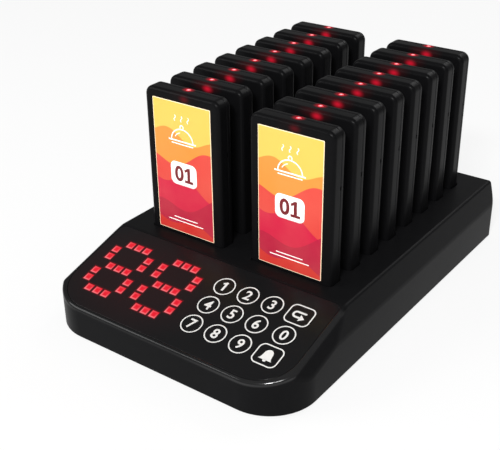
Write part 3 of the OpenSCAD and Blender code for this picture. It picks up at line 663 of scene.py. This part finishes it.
def base_skin(inset=0.0, floor=RIM):
    """Outer surface of the base, open below, or the same form drawn in by inset.

    The footprint's edge is walked once. Above each of its points the surface ends at the lowest of
    four planes: deck, band beside the deck, panel, band beside the panel. Each plane's face runs
    along the walk where that plane is lowest, and closes along the ridges."""
    side, ridge, deck = BASE_W / 2 - inset, DECK_W / 2 - inset * RIDGE_DRAW, DECK_H - inset
    front_r, rear_r = FRONT_R - inset, REAR_R - inset
    edge_y = BREAK_Y + inset * (1 - cos(PANEL_TILT)) / sin(PANEL_TILT)
    end_y = BASE_D / 2 - inset
    front, rear = acos((ridge - side + front_r) / front_r), acos((ridge - side + rear_r) / rear_r)
    front_steps, rear_steps = 16, 13
    a = np.concatenate([np.linspace(-pi / 2, -front, front_steps), np.linspace(-front, 0, 10)[1:]])
    b = np.concatenate([np.linspace(0, rear, rear_steps), np.linspace(rear, pi / 2, 3)[1:]])
    lean_deck, lean_panel = DECK_BAND * 2 / (BASE_W - DECK_W), PANEL_BAND * 2 / (BASE_W - DECK_W)
    fold = (lean_deck * cos(PANEL_TILT) - lean_panel) * (side - ridge) / sin(PANEL_TILT)
    right = np.concatenate([
        np.stack([side - front_r + front_r * np.cos(a), -end_y + front_r + front_r * np.sin(a)], -1),
        [[side, edge_y - fold]],
        np.stack([side - rear_r + rear_r * np.cos(b), end_y - rear_r + rear_r * np.sin(b)], -1)])
    walk = np.concatenate([right, right[::-1] * [-1, 1]])
    out = np.maximum(np.abs(walk[:, 0]) - ridge, 0)
    back = walk[:, 1] - edge_y
    top = deck + np.minimum.reduce([0 * out, -out * lean_deck, back * sin(PANEL_TILT) / cos(PANEL_TILT),
                                    (back * sin(PANEL_TILT) - out * lean_panel) / cos(PANEL_TILT)])
    n = len(walk)
    points = np.concatenate([np.column_stack([walk, top]), np.column_stack([walk, np.full(n, floor)]),
                             [[ridge, edge_y, deck], [-ridge, edge_y, deck]]])
    j = np.arange(n)
    faces = np.stack([j + n, (j + 1) % n + n, (j + 1) % n, j], -1).tolist()
    front_ridge, folded, rear_ridge, end = front_steps - 1, len(a), len(a) + rear_steps, len(right) - 1
    for corner, first, turn in ((2 * n, 0, 1), (2 * n + 1, n - 1, -1)):
        faces.append([corner] + [first + turn * i for i in range(folded, rear_ridge + 1)])
        faces.append([corner] + [first + turn * i for i in range(front_ridge, folded + 1)])
    faces.append([2 * n] + list(range(rear_ridge, end + 1)) + [n - 1 - i for i in range(end, rear_ridge - 1, -1)]
                 + [2 * n + 1])
    faces.append([2 * n] + list(range(front_ridge, -1, -1)) + [n - 1 - i for i in range(front_steps)]
                 + [2 * n + 1])
    return points, faces, list(range(n, 2 * n))


def closed_below(made):
    """Closes the open rim with one flat face."""
    bm = bmesh.new()
    bm.from_mesh(made.data)
    bmesh.ops.holes_fill(bm, edges=[e for e in bm.edges if e.is_boundary], sides=0)
    bmesh.ops.recalc_face_normals(bm, faces=bm.faces)
    bm.to_mesh(made.data)
    bm.free()


def soft_lip(r, depth):
    """Profile of a cutter that leaves a rounded lip of radius r round its hole."""
    a = np.linspace(0, pi / 2, 5)
    return [(0, -depth)] + [(r * (1 - cos(t)), -r * (1 - sin(t))) for t in a] + [(r, 3.0)]


def key_outline(i, margin):
    """Edge of key number i, or a margin outside it."""
    if KEYS[i] in ("return", "call"):
        return rounded(KEY_SQUARE[0] + 2 * margin, KEY_SQUARE[1] + 2 * margin, KEY_SQUARE_R + margin)
    return round_disc(KEY_D + 2 * margin, 64)


def displays():
    """Middle of each display in the panel's frame."""
    return [(x + 2 * LIGHT_PITCH, -DIGIT_S - 3 * LIGHT_PITCH) for x in DIGIT_X]


def lights():
    """Middle of every light: three in a level bar, two in an upright one."""
    return [(x + c * LIGHT_PITCH, -DIGIT_S - r * LIGHT_PITCH) for x in DIGIT_X for c in range(5) for r in range(7)
            if (r % 3 == 0) != (c % 4 == 0)]


def key_cutters():
    """A cutter for each key, from below the panel's skin to above the overlay."""
    deep = [(KEY_GAP, -WALL - 3), (KEY_GAP, 1)]
    return [solid_from(lambda m, i=i: key_outline(i, m), deep, key_place(i), on_panel) for i in range(len(KEYS))]


def build_top_shell():
    """Black moulding: its skin with soft edges, then slots, recess, windows and rear openings."""
    points, faces, _ = base_skin()
    made = draft("top_shell", points, faces)
    worked(made, ("BEVEL", {"width": EDGE_SOFTNESS, "segments": 4, "limit_method": "ANGLE",
                            "angle_limit": radians(9), "use_clamp_overlap": False}))
    closed_below(made)
    # Meant to hollow the moulding, but as it stands this cut takes nothing away and the block stays solid.
    points, faces, rim = base_skin(WALL, RIM - 2)
    carved(made, (points, faces + [rim]))
    slot_w, slot_t = PAGER_W + 2 * SLOT_CLEAR, PAGER_T + 2 * SLOT_CLEAR
    slot_r = PAGER_EDGE + SLOT_CLEAR
    lip = soft_lip(SLOT_LIP, 5)
    cuts = []
    for column in range(2):
        for row in range(8):
            foot = slot_place(column, row)
            cuts.append(solid_from(lambda m: rounded(slot_w + 2 * m, slot_t + 2 * m, slot_r + m, 5), lip,
                                   (foot[0], foot[1] + PAGER_T / 2), lambda p: p + [0, 0, DECK_H]))
    carved(made, together(*cuts))
    recess = [(KEY_GAP + m, n) for m, n in ((0, -OVERLAY_T), (0, -0.3), (0.09, -0.09), (0.3, 0.0), (0.3, 4.0))]
    carved(made, solid_from(overlay_outline, recess, place=on_panel))
    deep = [(HOUSING_GAP, -WALL - 3), (HOUSING_GAP, 0.5)]
    holes = key_cutters()
    holes += [solid_from(lambda m: rounded(DISPLAY_W + 2 * m, DISPLAY_H + 2 * m, 0.3, 2), deep, at, on_panel)
              for at in displays()]
    through = [(0, BASE_D / 2 - WALL - 2), (0, BASE_D / 2 - 0.3), (0.3, BASE_D / 2), (0.3, BASE_D / 2 + 2)]
    holes.append(solid_from(lambda m: round_disc(INLET_HOLE + 2 * m), through, (INLET_X, INLET_Z), upright))
    holes.append(solid_from(lambda m: rounded(SWITCH_HOLE[0] + 2 * m, SWITCH_HOLE[1] + 2 * m, 0.3 + m, 3), through,
                            (SWITCH_X, SWITCH_Z), upright))
    carved(made, together(*holes))
    put("top_shell_moulding", finished(made, 40), "base", "base_shell", shell_black, ["top_shell"])


def build_overlay():
    """Overlay: a sheet with a rounded edge, cut out for the keys and the lights."""
    edge = [(0, -OVERLAY_T), (0, -0.3), (-0.04, -0.15), (-0.15, -0.04), (-0.3, 0.0)]
    made = draft("overlay", *solid_from(overlay_outline, edge, place=on_panel))
    window, deep = LIGHT_SIDE + 2 * LIGHT_GAP, [(0, -OVERLAY_T - 1), (0, 1)]
    holes = [solid_from(lambda m: rounded(window, window, 0.35, 2), deep, at, on_panel) for at in lights()]
    carved(made, together(*key_cutters(), *holes))
    put("keypad_overlay_film", finished(made, 40), "base", "overlay", film, ["keypad_overlay"])


def printed(name, body, slot, ink, solids, shift=None):
    """Ink on a piece: its solids as one mesh."""
    put(name, finished(draft(name, *solids), 40, weighted=False), body, slot, ink, (), shift)


def turn_back_arrow():
    """Arrow that comes from the right along the top, turns down on the left and goes back right."""
    a = np.linspace(pi / 2, 3 * pi / 2, 15)
    bend = np.stack([-1.95 + 1.75 * np.cos(a), 0.1 + 1.75 * np.sin(a)], -1)
    path = np.concatenate([[[2.8, 1.85]], bend, [[1.2, -1.65]]])
    head = np.array([[0.7, 0.55], [3.6, -1.65], [0.7, -3.85]])
    end = round_disc(1.14, 16) + [2.8, 1.85]
    return (swept(path, 1.15, 0, INK_T), solid_from(lambda m: head[::-1], FLAT_INK),
            solid_from(lambda m: end, FLAT_INK))


def bell():
    """Bell: half its width at height h (0 to 1) is 2.7 sqrt(1 - h^4) + 1.2 (1 - h)^6, with a clapper below."""
    h = np.linspace(0, 1, 29) ** 0.8
    half = 2.7 * np.sqrt(np.maximum(1 - h ** 4, 0.004)) + 1.2 * (1 - h) ** 6
    up = -3.0 + 6.6 * h
    outline = np.concatenate([np.stack([half, up], -1), np.stack([-half, up], -1)[::-1]])
    clapper = round_disc(2.0, 20) * [1.0, 0.75] + [0, -3.35]
    return tuple(solid_from(lambda m, o=o: o, FLAT_INK) for o in (outline, clapper))


def build_key_prints():
    """White ring and sign of each key, riding on it."""
    for i, key in enumerate(KEYS):
        at = key_place(i)
        if key in ("return", "call"):
            outer, inner = rounded(14.7, 13.1, 3.5), rounded(13.3, 11.7, 2.8)
            icon = turn_back_arrow() if key == "return" else bell()
        else:
            outer, inner = round_disc(12.3, 64), round_disc(10.95, 64)
            points, faces = upright_one(6.2, INK_T) if key == "1" else lettering(key, 6.3, INK_T, 0.19)
            icon = ((points + [0, 0, INK_T / 2], faces),)
        parts = [band_between(outer, inner, 0.0, INK_T, at, on_panel)]
        parts += [(on_panel(points + [at[0], at[1], 0.0]), faces) for points, faces in icon]
        printed("key_" + key + "_print", "key_" + key, "overlay", white_ink, together(*parts))


# ---------- pagers ----------

def pager_shell(front):
    """Half of a pager's case: outlines of the plate, drawn in by an inset at each depth, walked from the
    outer face round its soft edge to the seam, over the rim and along the inside back to the face."""
    quarter = np.linspace(pi / 2, 0, 7)
    soft = [(PAGER_EDGE * (1 - cos(t)), PAGER_EDGE * (1 - sin(t))) for t in quarter]
    inner_r = PAGER_EDGE - PAGER_WALL
    inside = [(PAGER_WALL + inner_r * (1 - cos(t)), PAGER_WALL + inner_r * (1 - sin(t))) for t in quarter[::-2]]
    depth = (SEAM if front else PAGER_T - SEAM) - SEAM_GAP / 2
    profile = [(PAGER_EDGE + 0.4, 0.0)] + soft + [(0.0, depth - 0.34), (0.05, depth - 0.16), (0.22, depth)]
    profile += [(PAGER_WALL, depth)] + inside + [(PAGER_WALL + inner_r + 0.4, PAGER_WALL)]
    rings = []
    for inset, y in profile:
        r = PAGER_R - inset
        flat = rounded(PAGER_W - 2 * inset, PAGER_H - 2 * inset, r, 10) + [0, PAGER_H / 2]
        y = y if front else PAGER_T - y
        rings.append(np.column_stack([flat[:, 0], np.full(len(flat), y), flat[:, 1]]))
    made = draft("shell", *lofted(rings))
    top = [(0, PAGER_H - PAGER_WALL - 2), (0, PAGER_H - 0.12), (0.12, PAGER_H), (0.12, PAGER_H + 2)]
    cuts = [solid_from(lambda m: round_disc(PIPE_D + 2 * (PIPE_GAP + m), 32), top, (0, SEAM))]
    for side in (-1, 1):
        notch = solid_from(lambda m: rounded(NOTCH_W, NOTCH_H, 0.3, 3), [(0, -0.8), (0, 0.8)],
                           (SEAM, PAGER_H - NOTCH_DROP))
        cuts.append((notch[0][:, [2, 0, 1]] + [side * PAGER_W / 2, 0, 0], notch[1]))
        if front:
            cuts.append(solid_from(lambda m: round_disc(CONTACT_D + 2 * PIPE_GAP, 24),
                                   [(0, -1), (0, PAGER_WALL + 1)], (side * CONTACT_X, CONTACT_Y)))
    carved(made, together(*cuts))
    return finished(made, 30)


def light_pipe():
    """Light pipe: a round stem with a softly domed end flush with the pager's top, on a flat flange."""
    r = PIPE_D / 2
    t = np.linspace(0, pi / 2, 6)
    low = PAGER_H - PAGER_WALL - 1.2
    profile = [(0.25, low), (0.25, low + 0.85), (0.02, low + 0.92), (0, PAGER_H - 0.3)]
    profile += [(-(1 - cos(a)) * 0.3, PAGER_H - 0.3 + 0.25 * sin(a)) for a in t[1:]]
    profile += [(-r * 0.5, PAGER_H - 0.02), (-r * 0.9, PAGER_H)]
    made = draft("pipe", *solid_from(lambda m: round_disc(PIPE_D + 2 * m, 32), profile, (0, SEAM)))
    return finished(made, 35)


def contact_pair():
    """Two round contacts in the foot, each with a soft edge and a flange inside."""
    profile = [(-0.15, 0.0), (-0.04, 0.04), (0, 0.15), (0, 1.7), (0.3, 1.7), (0.3, 2.5)]
    made = draft("contacts", *together(*(
        solid_from(lambda m: round_disc(CONTACT_D + 2 * m, 24), profile, (x, CONTACT_Y))
        for x in (-CONTACT_X, CONTACT_X))))
    return finished(made, 35)


def label_sheet():
    """Label: thin sheet whose edges are rounded over, walked from its back to its face."""
    profile = [(0, 0.0), (0, LABEL_T * 0.6), (-0.05, LABEL_T * 0.9), (-0.16, LABEL_T)]
    centre = PAGER_H - LABEL_DROP - LABEL_H / 2
    rings = []
    for m, out in profile:
        flat = rounded(LABEL_W + 2 * m, LABEL_H + 2 * m, 0.5, 4) + [0, centre]
        rings.append(np.column_stack([flat[:, 0], np.full(len(flat), -out), flat[:, 1]]))
    return finished(draft("label", *lofted(rings)), 40)


def on_label(parts, lift):
    """Stands flat solids up on the label's face, lift above it."""
    points, faces = together(*parts)
    return np.stack([points[:, 0], -LABEL_T - lift - points[:, 2], points[:, 1]], -1), faces


def serving_dome(centre_z):
    """White line drawing of a domed dish: dome with a shine, knob, plate and three curls of steam."""
    a = np.linspace(0.06, pi - 0.06, 25)
    dome = np.stack([7.6 * np.cos(a), 7.2 * np.sin(a)], -1)
    shine = np.stack([5.4 * np.cos(a[14:22]), 5.1 * np.sin(a[14:22])], -1)
    b = np.linspace(-0.6, pi + 0.6, 13)
    knob = np.stack([1.1 * np.cos(b), 8.4 + 1.1 * np.sin(b)], -1)
    plate, foot = [[-9.6, 0.0], [9.6, 0.0]], [[-7.6, -1.7], [7.6, -1.7]]
    strokes = [(dome, 0.7), (shine, 0.5), (knob, 0.6), (plate, 0.8), (foot, 0.6)]
    t = np.linspace(-1, 1, 11)
    for x in (-4.6, 0.0, 4.6):
        strokes.append((np.stack([x + 0.55 * np.sin(t * pi), 13.2 + 1.7 * t], -1), 0.5))
    return [swept(path, width, 0, INK_T, (0, centre_z)) for path, width in strokes]


def build_label(column, body):
    """Label of a front pager: the sheet, then white drawing, rules and plaque, then the plaque's number."""
    foot, node = slot_place(column, 0), body + "_label"
    put(node + "_sheet", label_sheet(), body, "label_print", waves, [node], foot, local=True)
    top = PAGER_H - LABEL_DROP
    plaque_z = PAGER_H - 47.6
    plaque = solid_from(lambda m: rounded(18.4 + 2 * m, 14.0 + 2 * m, 3.4 + m, 6),
                        FLAT_INK + [(-0.03, PLAQUE_T)], (0, plaque_z))
    rules = [solid_from(lambda m, w=w: rounded(w, 0.55, 0.25, 3), FLAT_INK, (0, top - d))
             for w, d in ((17.0, 70.4), (25.0, 72.6))]
    figures = ((lettering("0", 9.5, INK_T, 0.3), -3.2), (upright_one(9.3, INK_T, foot=True), 3.3))
    number = [(points + [x, plaque_z, INK_T / 2], faces) for (points, faces), x in figures]
    whites = serving_dome(top - 22.5) + [plaque] + rules
    printed(node + "_white_print", body, "label_print", label_ink, on_label(whites, 0), foot)
    printed(node + "_number", body, "label_print", brown_ink, on_label(number, PLAQUE_T), foot)


def build_pagers():
    """Sixteen pagers from one set of meshes. The first is taken apart in the model; each of the others is one
    node, which its shells, light pipe and contacts replace without its inner pieces."""
    front, rear, pipe, contacts = pager_shell(True), pager_shell(False), light_pipe(), contact_pair()
    for column, letter in enumerate("ab"):
        for row in range(8):
            name = "pager_" + letter + str(row + 1)
            foot = slot_place(column, row)
            # Painted light: faint on the front row, strong where a pager stands in front.
            black = shells_faint_painted_light if row == 0 else shells_painted_light
            apart = name == "pager_a1"
            for piece, mesh, node, slot, finish in (("_front_case", front, "_front_shell", "pager_shell", black),
                                                    ("_rear_case", rear, "_rear_shell", "pager_shell", black),
                                                    ("_pipe", pipe, "_light_pipe", "light_red", pipe_lit)):
                whole = [name] if mesh is front else ()
                put(name + piece, mesh, name, slot, finish, [name + node] if apart else whole, foot, local=True)
            if not apart:
                put(name + "_foot_contacts", contacts, name, "contact_gold", gold, (), foot)
    build_label(0, "pager_a1")
    build_label(1, "pager_b1")


# ---------- the rest of the model's own pieces ----------

waves = label_print()
pipe_lit = pipe_glow()
gold = metal("contact_gold", srgb(214, 170, 82), 0.28)
steel = metal("screw_steel", srgb(176, 179, 184), 0.32)
OWN_FINISH = {
    "base_shell": tray_black,
    "overlay": cap,
    "housing_black": grained_plastic("housing_black", srgb(16, 16, 17), 0.3),
    "light_red": display_glow(),
    "board_green": circuit_board(),
    "switch_metal": metal("switch_metal", srgb(168, 170, 174), 0.4),
    "contact_gold": gold,
    "cable_grey": grained_plastic("cable_grey", srgb(78, 78, 84), 0.5),
    "module_blue": grained_plastic("module_blue", srgb(40, 92, 138), 0.4),
    "slider_grey": grained_plastic("slider_grey", srgb(86, 86, 90), 0.45),
    "foot_rubber": rubber(),
    "screw_steel": steel,
    "battery_silver": metal("battery_silver", srgb(150, 156, 164), 0.45, 300),
    "pager_shell": tray_black,
    "label_print": waves,
}


def dress_model():
    """Each node that is kept gets the finish of its slot in the record."""
    slots = {part["node"]: part["material_slot"] for part in frame["record"]["subparts"]}
    for name, node in frame["nodes"].items():
        finish = OWN_FINISH[slots[name]]
        if name in ("antenna", "buzzer", "radio_module") or not node.material_slots:
            node.data.materials.clear()
            node.data.materials.append(finish)
        for s in node.material_slots:
            s.material = finish


# ---------- room ----------

def build_room():
    """Pale floor that keeps the shadow, and surroundings that are white for the eye and soft as light."""
    f = Finish("studio_floor")
    path = f.node("LightPath")
    outputs = path.socket.node.outputs
    seen = Term(f, outputs["Is Camera Ray"]).most(Term(f, outputs["Is Glossy Ray"])).most(
        Term(f, outputs["Is Transmission Ray"]))
    paint = f.node("BsdfDiffuse", inputs={"Color": (FLOOR_PAINT,) * 3})
    glow = f.node("Emission", inputs={"Color": (1, 1, 1), "Strength": FLOOR_GLOW})
    mixed = f.node("MixShader", inputs={0: seen * FLOOR_SHARE, 1: paint, 2: glow})
    f.node("OutputMaterial", inputs={"Surface": mixed})
    mesh = bpy.data.meshes.new("studio_floor")
    corners = [(x * FLOOR_HALF, y * FLOOR_HALF, 0) for x, y in ((-1, -1), (1, -1), (1, 1), (-1, 1))]
    mesh.from_pydata(corners, [], [(0, 1, 2, 3)])
    floor = bpy.data.objects.new("studio_floor", mesh)
    bpy.context.scene.collection.objects.link(floor)
    mesh.materials.append(f.material)

    world = bpy.data.worlds.new("studio")
    bpy.context.scene.world = world
    world.use_nodes = True
    tree = world.node_tree
    tree.nodes.clear()
    rays = tree.nodes.new("ShaderNodeLightPath")
    bright = tree.nodes.new("ShaderNodeMath")
    bright.operation = "MULTIPLY_ADD"
    tree.links.new(rays.outputs["Is Camera Ray"], bright.inputs[0])
    bright.inputs[1].default_value = 1.0 - SKY
    bright.inputs[2].default_value = SKY
    background = tree.nodes.new("ShaderNodeBackground")
    tree.links.new(bright.outputs[0], background.inputs["Strength"])
    background.inputs["Color"].default_value = (1, 1, 1, 1)
    out = tree.nodes.new("ShaderNodeOutputWorld")
    tree.links.new(background.outputs[0], out.inputs["Surface"])


def lamp(name, place, aim, size, power):
    """Square soft lamp at place, facing aim (metres)."""
    data = bpy.data.lights.new(name, "AREA")
    data.shape = "RECTANGLE"
    data.size, data.size_y = size
    data.energy = power
    made = bpy.data.objects.new(name, data)
    bpy.context.scene.collection.objects.link(made)
    made.location = place
    made.rotation_euler = (Vector(aim) - Vector(place)).to_track_quat("-Z", "Y").to_euler()


def build_camera():
    """The photograph's viewpoint: distance and offsets were solved in column spacings from the pagers' rows."""
    az, el, roll = CAMERA_TURN, CAMERA_RISE, CAMERA_ROLL
    back = Vector((sin(az) * cos(el), -cos(az) * cos(el), sin(el)))
    level = Vector((cos(az), sin(az), 0))
    over = back.cross(level)
    right = level * cos(roll) + over * sin(roll)
    up = over * cos(roll) - level * sin(roll)
    moved = sum((axis * share for axis, share in zip((right, up, back), CAMERA_OFFSET)), Vector((0, 0, 0)))
    spot = moved * COLUMN_PITCH + Vector(CAMERA_FROM)
    data = bpy.data.cameras.new("photo_view")
    data.sensor_fit = "HORIZONTAL"
    data.sensor_width = SENSOR_W
    data.lens = FOCAL_PIXELS / PICTURE_W * SENSOR_W
    data.clip_start, data.clip_end = 0.01, 50
    made = bpy.data.objects.new("photo_view", data)
    bpy.context.scene.collection.objects.link(made)
    made.matrix_world = Matrix([[right[i], up[i], back[i], spot[i] * MM] for i in range(3)] + [[0, 0, 0, 1]])
    bpy.context.scene.camera = made


build_camera()
dress_model()
build_top_shell()
build_overlay()
build_key_prints()
build_pagers()
build_room()
for row in LAMPS:
    lamp(*row)
bpy.context.scene.view_settings.view_transform = "Standard"
